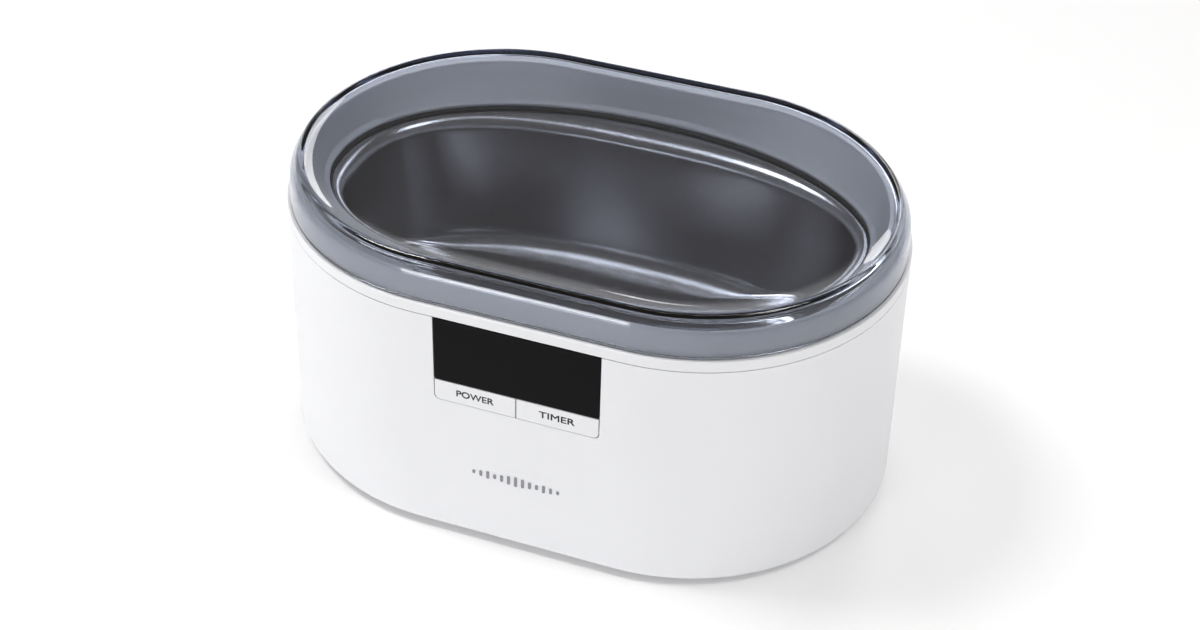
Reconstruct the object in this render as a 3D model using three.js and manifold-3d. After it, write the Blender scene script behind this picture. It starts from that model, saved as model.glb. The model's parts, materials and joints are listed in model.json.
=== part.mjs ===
// Compact ultrasonic cleaner for jewellery. A moulded stadium-shaped housing carries a top cover with
// a raised collar, a drawn steel tank with its transducer and electronics below, a front panel with a
// display window and two keys, and a loose tinted lid.
// Units are millimetres. +X runs along the length, -Y faces the user and +Z is up. The feet stand on
// z = 0 and the origin is the middle of the footprint.
import * as THREE from 'three';
import { mergeVertices } from 'three/addons/utils/BufferGeometryUtils.js';
import Module from 'manifold-3d';

const wasm = await Module();
wasm.setup();

// Plan: a stadium, two half circles joined by straight sides.
const HALF_STRAIGHT = 33;
const ARC_STEPS = 18;
const COLUMNS = 2 * ARC_STEPS + 8;

// Heights of the joints between the mouldings.
const FOOT_HEIGHT = 2;
const SEAM_Z = 85.1;
const LEDGE_Z = 89;
const LID_Z = 89.4;
const COLLAR_TOP_Z = 97;
const SEAM_GAP = 0.2;
const CLEARANCE = 0.3;

// Housing: radius of the plan's round ends at the seam, growing towards the foot by the draft.
const SEAM_RADIUS = 68.8;
const DRAFT = 0.0195;
const WALL = 2.5;
const EDGE_ROUND = 3;
const EDGE_INSET = 1.8;

// Lid: plan radius of the skirt, rolled rim and sunk top panel, with heights above its lower edge.
const LID_RADIUS = 68;
const LID_WALL = 2;
const LID_TAPER = 0.6;
const SKIRT_HEIGHT = 8.9;
const CREST_RADIUS = 64.1;
const CREST_HEIGHT = 13.95;
const PANEL_RADIUS = 57.2;
const PANEL_HEIGHT = 11.4;

// Tank: half axes of the visible rim, then how the oval changes with the distance inwards from it.
const RIM_HALF_LENGTH = 90;
const RIM_HALF_WIDTH = 56.5;
const SIDE_RATE = 1.5;
const RIM_Z = 85;
const RIM_ROUND = 5;
const FLANGE = 3;
const SHEET = 0.8;
const FLOOR_Z = 35.4;
const FLOOR_ROUND = 8;
const WALL_INSET_TOP = 6.5;
const WALL_INSET_FOOT = 9.5;

// Front panel: a window that reaches down from the seam, with the two keys below it.
const PANEL_HALF_WIDTH = 26.8;
const WINDOW_FOOT_Z = 61.8;
const KEY_FOOT_Z = 54.4;
const PLATE = 2;
const KEY_GAP = 0.5;
const KEY_CORNER = 2;
const NOTCH_REACH = 6.5;

// Display board and its key switches.
const BOARD = 1.6;
const DISPLAY_BOARD_Y = -57.5;
const DISPLAY_BOARD = { halfWidth: 36, low: 52.5, high: 82 };
const DISPLAY_SCREW = { x: 32.5, z: 60, boss: 3, bossEnd: 67.5, bore: 1.4, boreEnd: 66 };
const LED_DISPLAY = { halfWidth: 15, low: 66, high: 79, depth: 7.6 };
const SWITCH_X = 13.4;
const SWITCH_Z = 58.1;
const SWITCH_DEPTH = 3.5;
const STEM = { radius: 1.7, length: 3, proud: 1.3 };
const SWITCH_BODY = { side: 6, corner: 0.6, bore: 2 };
const KEY_POST = { halfWidth: 3, halfHeight: 2 };
const KEY_POST_GAP = 0.35;

// Base, bosses and main board.
const BASE_Z = 2.3;
const BASE_PLATE = 2.5;
const BASE_PAD = 2;
const BASE_SCREW = { x: 76.5, y: 43.5, boss: 4, bore: 1.8, rib: 7.2, halfRib: 1.2, top: 18 };
const COUNTERBORE = { radius: 3.6, top: 4.8 };
const PAD_RADIUS = 5.5;
const PILLAR_RADIUS = 3;
const SCREW_HOLE = 1.6;
const VENT = { length: 22, width: 2.4, x: 24, pitch: 6 };
const MAIN_BOARD = { halfLength: 52, halfWidth: 30, z: 10.3 };
const BOARD_SCREW = { x: 47, y: 25 };
const FOOT = { x: 62, y: 34, radius: 6.5, hollow: 3 };

// Clamps that hold the tank's flange up against the gasket.
const CLAMP = { x: 70.8, y: 46.6, boss: 3.25, bore: 1.4, reach: 9.5, half: 3.5, plate: 1.5 };
const CLAMP_TOP_Z = 83.9;

// Transducer under the middle of the tank.
const COUPLING = { radius: 28, height: 2 };
const PIEZO = { radius: 25, height: 2.6 };

// Appliance inlet in the back wall.
const INLET = { z: 17, halfWidth: 10.6, halfHeight: 5.4, face: 69.6, rear: 52, gap: 0.4 };
const INLET_FLANGE = { width: 28, height: 15, corner: 1.5, low: 65.4, high: 66.9 };
const SOCKET = { halfStraight: 4.3, radius: 4.1, floor: 58 };
const PIN = { radius: 1.2, tip: 67, tail: 47 };

const FINISHES = {
  whiteAbs: { color: 0xeeeef0, roughness: 0.35, metalness: 0 },
  smokyClear: { color: 0x93a0b4, roughness: 0.06, metalness: 0, transparent: true, opacity: 0.5 },
  steel: { color: 0xb8b9bb, roughness: 0.12, metalness: 1 },
  silicone: { color: 0x33353a, roughness: 0.7, metalness: 0 },
  blackGloss: { color: 0x141417, roughness: 0.08, metalness: 0 },
  blackPlastic: { color: 0x1c1c1f, roughness: 0.5, metalness: 0 },
  greenLaminate: { color: 0x1d5b38, roughness: 0.45, metalness: 0 },
  aluminium: { color: 0xc4c6c8, roughness: 0.35, metalness: 1 },
  zinc: { color: 0xa9abae, roughness: 0.3, metalness: 1 },
  ceramic: { color: 0xc9c3b2, roughness: 0.4, metalness: 0 },
  ferrite: { color: 0x3a3b3e, roughness: 0.6, metalness: 0 },
  copper: { color: 0xb5643a, roughness: 0.3, metalness: 1 },
  brass: { color: 0xc9a55a, roughness: 0.25, metalness: 1 },
  rubber: { color: 0x2b2b2d, roughness: 0.85, metalness: 0 },
  nylon: { color: 0xe6e3da, roughness: 0.5, metalness: 0 },
  yellowFilm: { color: 0xd8b13a, roughness: 0.4, metalness: 0 },
  capacitorSleeve: { color: 0x23304a, roughness: 0.4, metalness: 0 },
  glass: { color: 0xdfe6e6, roughness: 0.08, metalness: 0 },
  redPvc: { color: 0xb32222, roughness: 0.45, metalness: 0 },
  bluePvc: { color: 0x2a4c9c, roughness: 0.45, metalness: 0 },
  brownPvc: { color: 0x6a4326, roughness: 0.45, metalness: 0 },
  blackPvc: { color: 0x1d1d1f, roughness: 0.45, metalness: 0 },
  greyPvc: { color: 0x8d9096, roughness: 0.5, metalness: 0 },
};

const QUADRANTS = [
  ['front_left', -1, -1],
  ['front_right', 1, -1],
  ['back_right', 1, 1],
  ['back_left', -1, 1],
];

const cleaner = new THREE.Group();

// ---- Solids ----

// One position per corner, and no triangle that a shared corner has flattened.
function weld(geometry) {
  const bare = geometry.clone();
  bare.deleteAttribute('normal');
  bare.deleteAttribute('uv');
  const welded = mergeVertices(bare, 1e-4);
  const corners = welded.getIndex().array;
  const kept = [];
  for (let i = 0; i < corners.length; i += 3) {
    const [a, b, c] = corners.slice(i, i + 3);
    if (a !== b && b !== c && c !== a) kept.push(a, b, c);
  }
  welded.setIndex(kept);
  return welded;
}

function solidOf(geometry) {
  const welded = weld(geometry);
  return new wasm.Manifold(new wasm.Mesh({
    numProp: 3,
    vertProperties: Float32Array.from(welded.getAttribute('position').array),
    triVerts: Uint32Array.from(welded.getIndex().array),
  }));
}

function geometryOf(solid) {
  const mesh = solid.getMesh();
  const geometry = new THREE.BufferGeometry();
  geometry.setAttribute('position', new THREE.BufferAttribute(mesh.vertProperties, 3));
  geometry.setIndex(new THREE.BufferAttribute(mesh.triVerts, 1));
  return geometry;
}

function join(first, ...others) {
  return geometryOf(others.reduce((whole, other) => whole.add(solidOf(other)), solidOf(first)));
}

function cut(blank, ...tools) {
  return geometryOf(tools.reduce((rest, tool) => rest.subtract(solidOf(tool)), solidOf(blank)));
}

// One named mesh with a material of its own.
function add(name, geometry, finish, place = [0, 0, 0], turn = [0, 0, 0], parent = cleaner) {
  const shape = weld(geometry);
  shape.computeVertexNormals();
  const mesh = new THREE.Mesh(shape, new THREE.MeshStandardMaterial(FINISHES[finish]));
  mesh.name = name;
  mesh.position.set(...place);
  mesh.rotation.set(...turn);
  parent.add(mesh);
  return mesh;
}

// ---- Shapes ----

function block([x0, x1], [y0, y1], [z0, z1]) {
  const box = new THREE.BoxGeometry(x1 - x0, y1 - y0, z1 - z0);
  return box.translate((x0 + x1) / 2, (y0 + y1) / 2, (z0 + z1) / 2);
}

// A solid of revolution about Z from [radius, z] points, run anticlockwise from the axis to the axis.
function turned(profile, sides = 12) {
  const points = profile.map(([radius, z]) => new THREE.Vector2(radius, z));
  return new THREE.LatheGeometry(points, sides).rotateX(Math.PI / 2);
}

function rod(radius, low, high, sides = 12) {
  return turned([[0, low], [radius, low], [radius, high], [0, high]], sides);
}

function roundedRectangle(width, height, radius) {
  const x = width / 2;
  const y = height / 2;
  const shape = new THREE.Shape();
  shape.moveTo(-x + radius, -y);
  shape.lineTo(x - radius, -y);
  shape.absarc(x - radius, -y + radius, radius, -Math.PI / 2, 0);
  shape.lineTo(x, y - radius);
  shape.absarc(x - radius, y - radius, radius, 0, Math.PI / 2);
  shape.lineTo(-x + radius, y);
  shape.absarc(-x + radius, y - radius, radius, Math.PI / 2, Math.PI);
  shape.lineTo(-x, -y + radius);
  shape.absarc(-x + radius, -y + radius, radius, Math.PI, 1.5 * Math.PI);
  return shape;
}

function slab(shape, low, high, curveSegments = 3) {
  const settings = { depth: high - low, bevelEnabled: false, curveSegments };
  return new THREE.ExtrudeGeometry(shape, settings).translate(0, 0, low);
}

// A wire with a round section along a smooth curve through the points.
function wire(points, radius, steps = 14) {
  const curve = new THREE.CatmullRomCurve3(points.map((point) => new THREE.Vector3(...point)));
  const section = new THREE.Shape().absarc(0, 0, radius, 0, 2 * Math.PI);
  return new THREE.ExtrudeGeometry(section, { steps, extrudePath: curve, curveSegments: 4 });
}

// ---- Skins through rings of points ----

// Every ring runs anticlockwise from the middle of the front and has COLUMNS points.
function stadiumRing(radius, z) {
  const turns = Array.from({ length: ARC_STEPS + 1 }, (_, i) => (i / ARC_STEPS - 0.5) * Math.PI);
  const rightHalf = [
    [0, -radius],
    [HALF_STRAIGHT / 2, -radius],
    ...turns.map((turn) => [HALF_STRAIGHT + radius * Math.cos(turn), radius * Math.sin(turn)]),
    [HALF_STRAIGHT / 2, radius],
  ];
  const leftHalf = rightHalf.map(([x, y]) => [-x, -y]);
  return [...rightHalf, ...leftHalf].map(([x, y]) => new THREE.Vector3(x, y, z));
}

function ovalRing(halfLength, halfWidth, z, squareness) {
  const along = (part, half) => half * Math.sign(part) * Math.abs(part) ** (2 / squareness);
  return Array.from({ length: COLUMNS }, (_, i) => {
    const turn = (i / COLUMNS) * 2 * Math.PI - Math.PI / 2;
    return new THREE.Vector3(along(Math.cos(turn), halfLength), along(Math.sin(turn), halfWidth), z);
  });
}

// The tank's oval at a distance inwards from the visible rim: the sides close in faster than the
// ends, and the oval grows squarer.
function tankRing(inset, z) {
  const sideInset = inset > 0 ? inset * SIDE_RATE : inset;
  const squareness = 2.1 + 0.06 * Math.max(inset, 0);
  return ovalRing(RIM_HALF_LENGTH - inset, RIM_HALF_WIDTH - sideInset, z, squareness);
}

// The closed surface through the rings in turn. They run round the section anticlockwise, and
// either end on the middle or come back to the first ring.
function skin(rings) {
  const profile = rings.map((ring, row) => new THREE.Vector2(1, row));
  const geometry = new THREE.LatheGeometry(profile, COLUMNS);
  const position = geometry.getAttribute('position');
  for (let column = 0; column <= COLUMNS; column += 1) {
    rings.forEach((ring, row) => {
      const { x, y, z } = ring[column % COLUMNS];
      position.setXYZ(column * rings.length + row, x, y, z);
    });
  }
  return geometry;
}

// A path through [radius, z, reach] corners, each rounded from reach before it to reach after it.
function roundedPath(corners) {
  const points = corners.map(([radius, z]) => new THREE.Vector2(radius, z));
  const path = new THREE.Path();
  path.moveTo(points[0].x, points[0].y);
  for (let i = 1; i < corners.length; i += 1) {
    const here = points[i];
    const reach = corners[i][2];
    if (reach === 0) {
      path.lineTo(here.x, here.y);
    } else {
      const start = points[i - 1].clone().sub(here).setLength(reach).add(here);
      const end = points[i + 1].clone().sub(here).setLength(reach).add(here);
      path.lineTo(start.x, start.y);
      path.quadraticCurveTo(here.x, here.y, end.x, end.y);
    }
  }
  return path;
}

function stadiumSkin(path, divisions) {
  return skin(path.getPoints(divisions).map(({ x, y }) => stadiumRing(x, y)));
}

function housingRadius(z) {
  return SEAM_RADIUS + (SEAM_Z - z) * DRAFT;
}

// ---- Lid ----

function lidSection() {
  const skirtTop = LID_RADIUS - LID_TAPER;
  const underPanel = PANEL_HEIGHT - LID_WALL;
  const corners = [
    [0, underPanel, 0],
    [PANEL_RADIUS - 0.4, underPanel, 4],
    [CREST_RADIUS - 0.7, CREST_HEIGHT - LID_WALL - 1.1, 1.2],
    [skirtTop - LID_WALL, SKIRT_HEIGHT - 1.5, 1.2],
    [LID_RADIUS - LID_WALL, 0, 0.3],
    [LID_RADIUS, 0, 0.4],
    [skirtTop, SKIRT_HEIGHT, 1.5],
    [CREST_RADIUS, CREST_HEIGHT, 1.7],
    [PANEL_RADIUS, PANEL_HEIGHT, 4],
    [0, PANEL_HEIGHT, 0],
  ];
  return roundedPath(corners.map(([radius, height, reach]) => [radius, LID_Z + height, reach]));
}

add('lid', stadiumSkin(lidSection(), 2), 'smokyClear');

// ---- Top cover ----

const COVER_FOOT = SEAM_Z + SEAM_GAP;
const TONGUE_RADIUS = SEAM_RADIUS - WALL - 0.4;
const TONGUE_FOOT = SEAM_Z - 4.6;
const COLLAR_RADIUS = LID_RADIUS - LID_WALL - 0.5;
const COLLAR_TAPER = 0.7;
const LIP_TOP = RIM_Z + 2.2;
const LIP_FOOT = RIM_Z + 1.2;

function coverBlank() {
  const lipInset = -0.4;
  const rings = [
    stadiumRing(SEAM_RADIUS, COVER_FOOT),
    stadiumRing(SEAM_RADIUS, LEDGE_Z - 0.4),
    stadiumRing(SEAM_RADIUS - 0.4, LEDGE_Z),
    stadiumRing(COLLAR_RADIUS, LEDGE_Z),
    stadiumRing(COLLAR_RADIUS - COLLAR_TAPER, COLLAR_TOP_Z - 0.4),
    stadiumRing(COLLAR_RADIUS - COLLAR_TAPER - 0.4, COLLAR_TOP_Z),
    stadiumRing(COLLAR_RADIUS - 1.7, COLLAR_TOP_Z),
    stadiumRing(COLLAR_RADIUS - 2.3, COLLAR_TOP_Z - 0.7),
    tankRing(lipInset - 2, LIP_TOP + 0.8),
    tankRing(lipInset, LIP_TOP),
    tankRing(lipInset, LIP_FOOT),
    tankRing(lipInset - 1.8, LIP_FOOT),
    stadiumRing(TONGUE_RADIUS - 1.9, COLLAR_TOP_Z - 4.8),
    stadiumRing(TONGUE_RADIUS - 1.9, TONGUE_FOOT),
    stadiumRing(TONGUE_RADIUS, TONGUE_FOOT),
    stadiumRing(TONGUE_RADIUS, COVER_FOOT),
  ];
  return skin([...rings, rings[0]]);
}

function coverBoss(xSide, ySide) {
  return rod(CLAMP.boss, CLAMP_TOP_Z + 0.2, COLLAR_TOP_Z - 6.8)
    .translate(xSide * CLAMP.x, ySide * CLAMP.y, 0);
}

function coverBossBore(xSide, ySide) {
  return rod(CLAMP.bore, CLAMP_TOP_Z - 1, LEDGE_Z - 0.5)
    .translate(xSide * CLAMP.x, ySide * CLAMP.y, 0);
}

const coverBosses = QUADRANTS.map(([, x, y]) => coverBoss(x, y));
const coverBores = QUADRANTS.map(([, x, y]) => coverBossBore(x, y));
add('top_cover', cut(join(coverBlank(), ...coverBosses), ...coverBores), 'whiteAbs');

// ---- Housing ----

const HOUSING_TOP = SEAM_Z - SEAM_GAP;

function housingSection() {
  const footRadius = housingRadius(FOOT_HEIGHT + EDGE_ROUND);
  const innerFoot = footRadius - WALL;
  const path = new THREE.Path();
  path.moveTo(footRadius - EDGE_INSET, FOOT_HEIGHT);
  path.quadraticCurveTo(footRadius, FOOT_HEIGHT + 0.4, footRadius, FOOT_HEIGHT + EDGE_ROUND);
  path.lineTo(SEAM_RADIUS, HOUSING_TOP);
  path.lineTo(SEAM_RADIUS - WALL, HOUSING_TOP);
  path.lineTo(innerFoot, FOOT_HEIGHT + EDGE_ROUND);
  path.lineTo(innerFoot, FOOT_HEIGHT);
  path.closePath();
  return path;
}

// The notch for window and keys, open at the seam and rounded at its lower corners.
function panelNotch() {
  const halfWidth = PANEL_HALF_WIDTH + CLEARANCE;
  const foot = KEY_FOOT_Z - CLEARANCE;
  const shape = new THREE.Shape();
  shape.moveTo(-halfWidth, SEAM_Z + 1);
  shape.lineTo(-halfWidth, foot + KEY_CORNER);
  shape.absarc(-halfWidth + KEY_CORNER, foot + KEY_CORNER, KEY_CORNER, Math.PI, 1.5 * Math.PI);
  shape.lineTo(halfWidth - KEY_CORNER, foot);
  shape.absarc(halfWidth - KEY_CORNER, foot + KEY_CORNER, KEY_CORNER, 1.5 * Math.PI, 2 * Math.PI);
  shape.lineTo(halfWidth, SEAM_Z + 1);
  return slab(shape, SEAM_RADIUS - NOTCH_REACH, SEAM_RADIUS + NOTCH_REACH, 3).rotateX(Math.PI / 2);
}

// A screw boss with a rib that runs out to the wall.
function baseBoss(xSide, ySide) {
  const foot = BASE_Z + BASE_PLATE + BASE_PAD + CLEARANCE;
  const { x, y, boss, rib, halfRib, top } = BASE_SCREW;
  const bar = block([0, rib], [-halfRib, halfRib], [foot, top - 1]);
  bar.rotateZ(Math.atan2(ySide, xSide));
  return join(rod(boss, foot, top), bar).translate(xSide * x, ySide * y, 0);
}

function baseBossBore(xSide, ySide) {
  return rod(BASE_SCREW.bore, FOOT_HEIGHT, BASE_SCREW.top - 1.5)
    .translate(xSide * BASE_SCREW.x, ySide * BASE_SCREW.y, 0);
}

// Bosses that stand on the inner face of the front wall and carry the display board.
function displayBoss(xSide, radius, wallEnd) {
  return rod(radius, CLEARANCE - DISPLAY_BOARD_Y, wallEnd)
    .rotateX(Math.PI / 2)
    .translate(xSide * DISPLAY_SCREW.x, 0, DISPLAY_SCREW.z);
}

function inletHole() {
  const { z, face, gap } = INLET;
  const halfWidth = INLET.halfWidth + gap;
  const halfHeight = INLET.halfHeight + gap;
  return block([-halfWidth, halfWidth], [face - 9, face + 5], [z - halfHeight, z + halfHeight]);
}

function housing() {
  const { boss, bossEnd, bore, boreEnd } = DISPLAY_SCREW;
  const blank = join(
    stadiumSkin(housingSection(), 3),
    ...QUADRANTS.map(([, x, y]) => baseBoss(x, y)),
    ...[-1, 1].map((side) => displayBoss(side, boss, bossEnd)),
  );
  return cut(
    blank,
    panelNotch(),
    inletHole(),
    ...QUADRANTS.map(([, x, y]) => baseBossBore(x, y)),
    ...[-1, 1].map((side) => displayBoss(side, bore, boreEnd)),
  );
}

add('housing', housing(), 'whiteAbs');

// ---- Base plate, feet and fasteners ----

const BASE_TOP = BASE_Z + BASE_PLATE;
const MAIN_BOARD_TOP = MAIN_BOARD.z + BOARD;

function baseSlab() {
  const radius = housingRadius(FOOT_HEIGHT + EDGE_ROUND) - WALL - CLEARANCE;
  return skin([
    stadiumRing(0, BASE_Z),
    stadiumRing(radius, BASE_Z),
    stadiumRing(radius, BASE_TOP),
    stadiumRing(0, BASE_TOP),
  ]);
}

function baseScrewHole(xSide, ySide) {
  const { radius, top } = COUNTERBORE;
  const { bore } = BASE_SCREW;
  const profile = [[0, 0], [radius, 0], [radius, top], [bore, top], [bore, 12], [0, 12]];
  return turned(profile).translate(xSide * BASE_SCREW.x, ySide * BASE_SCREW.y, 0);
}

function vent(side, row) {
  const outline = roundedRectangle(VENT.length, VENT.width, VENT.width / 2 - 0.01);
  return slab(outline, 0, BASE_TOP + 3, 1).translate(side * VENT.x, row * VENT.pitch, 0);
}

// A stadium-plan plate with pads for the base screws, pillars for the main board and vents.
function basePlate() {
  const pad = rod(PAD_RADIUS, BASE_TOP - 1, BASE_TOP + BASE_PAD);
  const pillar = rod(PILLAR_RADIUS, BASE_TOP - 1, MAIN_BOARD.z - 0.2);
  const pillarBore = rod(SCREW_HOLE, BASE_TOP - 0.5, 12);
  const atBaseScrews = (shape) => QUADRANTS.map(
    ([, x, y]) => shape.clone().translate(x * BASE_SCREW.x, y * BASE_SCREW.y, 0),
  );
  const atBoardScrews = (shape) => QUADRANTS.map(
    ([, x, y]) => shape.clone().translate(x * BOARD_SCREW.x, y * BOARD_SCREW.y, 0),
  );
  return cut(
    join(baseSlab(), ...atBaseScrews(pad), ...atBoardScrews(pillar)),
    ...QUADRANTS.map(([, x, y]) => baseScrewHole(x, y)),
    ...atBoardScrews(pillarBore),
    ...[-1, 1].flatMap((side) => [-2, -1, 0, 1, 2].map((row) => vent(side, row))),
  );
}

add('base_plate', basePlate(), 'whiteAbs');

function rubberFoot() {
  const { radius, hollow } = FOOT;
  const top = BASE_Z - 0.1;
  return turned([
    [0, 0.4], [hollow, 0.4], [hollow + 0.6, 0], [radius - 0.8, 0],
    [radius, 0.6], [radius, top], [0, top],
  ], 16);
}

// A pan-head screw that points up, with its head's underside at z = 0.
function panHeadScrew(headRadius, headHeight, shankRadius, shankLength) {
  return turned([
    [0, -headHeight], [headRadius * 0.7, -headHeight], [headRadius, -headHeight * 0.5], [headRadius, 0],
    [shankRadius, 0], [shankRadius, shankLength - shankRadius], [0, shankLength],
  ], 8);
}

for (const [name, xSide, ySide] of QUADRANTS) {
  add(`foot_${name}`, rubberFoot(), 'rubber', [xSide * FOOT.x, ySide * FOOT.y, 0]);
  add(`base_screw_${name}`, panHeadScrew(3, 1.8, 1.5, 10.5), 'zinc',
    [xSide * BASE_SCREW.x, ySide * BASE_SCREW.y, BASE_Z + 2.2]);
  add(`board_screw_${name}`, panHeadScrew(2.7, 1.8, 1.3, 5.5), 'zinc',
    [xSide * BOARD_SCREW.x, ySide * BOARD_SCREW.y, MAIN_BOARD_TOP + 0.2], [Math.PI, 0, 0]);
}

// ---- Tank, gasket and clamps ----

function tank() {
  const foot = FLOOR_Z + FLOOR_ROUND;
  const wallTop = RIM_Z - RIM_ROUND;
  const roundStart = WALL_INSET_TOP - RIM_ROUND;
  const inner = new THREE.Path();
  inner.moveTo(-FLANGE, RIM_Z);
  inner.lineTo(roundStart, RIM_Z);
  inner.absarc(roundStart, wallTop, RIM_ROUND, Math.PI / 2, 0, true);
  inner.lineTo(WALL_INSET_FOOT, foot);
  inner.absarc(WALL_INSET_FOOT + FLOOR_ROUND, foot, FLOOR_ROUND, Math.PI, 1.5 * Math.PI);
  const outer = new THREE.Path();
  outer.moveTo(-FLANGE, RIM_Z - SHEET);
  outer.lineTo(roundStart, RIM_Z - SHEET);
  outer.absarc(roundStart, wallTop, RIM_ROUND - SHEET, Math.PI / 2, 0, true);
  outer.lineTo(WALL_INSET_FOOT - SHEET, foot);
  outer.absarc(WALL_INSET_FOOT + FLOOR_ROUND, foot, FLOOR_ROUND + SHEET, Math.PI, 1.5 * Math.PI);
  const ring = ({ x, y }) => tankRing(x, y);
  return skin([
    ovalRing(0, 0, FLOOR_Z - SHEET, 2),
    ...outer.getPoints(2).reverse().map(ring),
    ...inner.getPoints(2).map(ring),
    ovalRing(0, 0, FLOOR_Z, 2),
  ]);
}

add('tank', tank(), 'steel');

function gasket() {
  const low = RIM_Z + 0.2;
  const high = LIP_FOOT - 0.2;
  const outside = 0.4 - FLANGE;
  const rings = [
    tankRing(outside, low),
    tankRing(outside, high),
    tankRing(0, high),
    tankRing(0.3, low + 0.4),
    tankRing(0, low),
  ];
  return skin([...rings, rings[0]]);
}

add('tank_gasket', gasket(), 'silicone');

// A flat tongue with round ends: one end under a boss of the cover, the other under the flange.
function clampPlate() {
  const { reach, half, plate } = CLAMP;
  const length = reach + half;
  const shape = roundedRectangle(length, 2 * half, half - 0.01);
  const bar = slab(shape, -plate, 0, 2).translate(length / 2 - half, 0, 0);
  return cut(bar, rod(CLAMP.bore, -plate - 1, 1, 10));
}

for (const [name, xSide, ySide] of QUADRANTS) {
  const inwards = Math.atan2(-ySide * 0.78, -xSide * 0.62);
  const spot = [xSide * CLAMP.x, ySide * CLAMP.y];
  add(`tank_clamp_${name}`, clampPlate(), 'zinc', [...spot, CLAMP_TOP_Z], [0, 0, inwards]);
  add(`clamp_screw_${name}`, panHeadScrew(2.4, 1.7, 1.1, 6), 'zinc',
    [...spot, CLAMP_TOP_Z - CLAMP.plate - 0.2]);
}

// ---- Transducer ----

const COUPLING_FOOT = FLOOR_Z - SHEET - CLEARANCE - COUPLING.height;
const PIEZO_FOOT = COUPLING_FOOT - CLEARANCE - PIEZO.height;

add('coupling_plate', rod(COUPLING.radius, 0, COUPLING.height, 32), 'aluminium', [0, 0, COUPLING_FOOT]);
add('piezo_disc', rod(PIEZO.radius, 0, PIEZO.height, 32), 'ceramic', [0, 0, PIEZO_FOOT]);

// ---- Front panel: window and keys lie in the drafted plane of the front wall ----

const frontPlane = new THREE.Group();
frontPlane.position.set(0, -SEAM_RADIUS, SEAM_Z);
frontPlane.rotation.x = -Math.atan(DRAFT);
cleaner.add(frontPlane);

// Turns a shape drawn in x and height into a plate that lies behind the front plane.
function panelPlate(shape) {
  return slab(shape, -PLATE, 0, 3).rotateX(Math.PI / 2);
}

function displayWindow() {
  const top = -SEAM_GAP;
  const foot = WINDOW_FOOT_Z - SEAM_Z + CLEARANCE / 2;
  const shape = roundedRectangle(2 * PANEL_HALF_WIDTH, top - foot, 0.6);
  return panelPlate(shape).translate(0, 0, (top + foot) / 2);
}

add('display_window', displayWindow(), 'blackGloss', [0, 0, 0], [0, 0, 0], frontPlane);

// A key is a plate with one large round corner and a post that reaches back to its switch.
function key(side) {
  const inner = KEY_GAP / 2;
  const outer = PANEL_HALF_WIDTH;
  const top = WINDOW_FOOT_Z - SEAM_Z - CLEARANCE / 2;
  const foot = KEY_FOOT_Z - SEAM_Z;
  const shape = new THREE.Shape();
  shape.moveTo(inner, foot);
  shape.lineTo(outer - KEY_CORNER, foot);
  shape.absarc(outer - KEY_CORNER, foot + KEY_CORNER, KEY_CORNER, -Math.PI / 2, 0);
  shape.lineTo(outer, top);
  shape.lineTo(inner, top);
  const plate = panelPlate(shape);
  if (side < 0) plate.rotateZ(Math.PI).translate(0, PLATE, 0);
  const stemTip = DISPLAY_BOARD_Y - SWITCH_DEPTH - STEM.proud;
  const postEnd = stemTip - KEY_POST_GAP + SEAM_RADIUS;
  const middle = SWITCH_Z - SEAM_Z;
  const { halfWidth, halfHeight } = KEY_POST;
  const postZ = [middle - halfHeight, middle + halfHeight];
  const post = block([-halfWidth, halfWidth], [PLATE - 0.5, postEnd], postZ);
  return join(plate, post.translate(side * SWITCH_X, 0, 0));
}

add('power_key', key(-1), 'whiteAbs', [0, 0, 0], [0, 0, 0], frontPlane);
add('timer_key', key(1), 'whiteAbs', [0, 0, 0], [0, 0, 0], frontPlane);

// ---- Display board with its switches ----

function displayBoard() {
  const { halfWidth, low, high } = DISPLAY_BOARD;
  const plate = block([-halfWidth, halfWidth], [DISPLAY_BOARD_Y, DISPLAY_BOARD_Y + BOARD], [low, high]);
  const hole = rod(SCREW_HOLE, -DISPLAY_BOARD_Y - 5, -DISPLAY_BOARD_Y + 5).rotateX(Math.PI / 2);
  const { x, z } = DISPLAY_SCREW;
  return cut(plate, hole.clone().translate(-x, 0, z), hole.clone().translate(x, 0, z));
}

function ledDisplay() {
  const { halfWidth, low, high, depth } = LED_DISPLAY;
  const back = DISPLAY_BOARD_Y - 0.2;
  return block([-halfWidth, halfWidth], [back - depth, back], [low, high]);
}

add('display_board', displayBoard(), 'greenLaminate');
add('led_display', ledDisplay(), 'blackPlastic');

// Pieces on a forward-facing board are drawn pointing along +Z and turned to point along -Y.
const FACING_FRONT = [Math.PI / 2, 0, 0];
const switchStem = rod(STEM.radius, -STEM.length, 0);

function switchBody() {
  const { side, corner, bore } = SWITCH_BODY;
  const body = slab(roundedRectangle(side, side, corner), 0.2, SWITCH_DEPTH, 2);
  return cut(body, rod(bore, 1, SWITCH_DEPTH + 1));
}

for (const [name, side] of [['power', -1], ['timer', 1]]) {
  const bodyPlace = [side * SWITCH_X, DISPLAY_BOARD_Y, SWITCH_Z];
  const stemPlace = [side * SWITCH_X, DISPLAY_BOARD_Y - SWITCH_DEPTH - STEM.proud, SWITCH_Z];
  add(`${name}_switch_body`, switchBody(), 'blackPlastic', bodyPlace, FACING_FRONT);
  add(`${name}_switch_stem`, switchStem, 'nylon', stemPlace, FACING_FRONT);
}

for (const [name, side] of [['left', -1], ['right', 1]]) {
  add(`display_screw_${name}`, panHeadScrew(2.7, 1.8, 1.1, 6.5), 'zinc',
    [side * DISPLAY_SCREW.x, DISPLAY_BOARD_Y + BOARD + 0.2, DISPLAY_SCREW.z], FACING_FRONT);
}

// ---- Main board and its components ----

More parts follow.
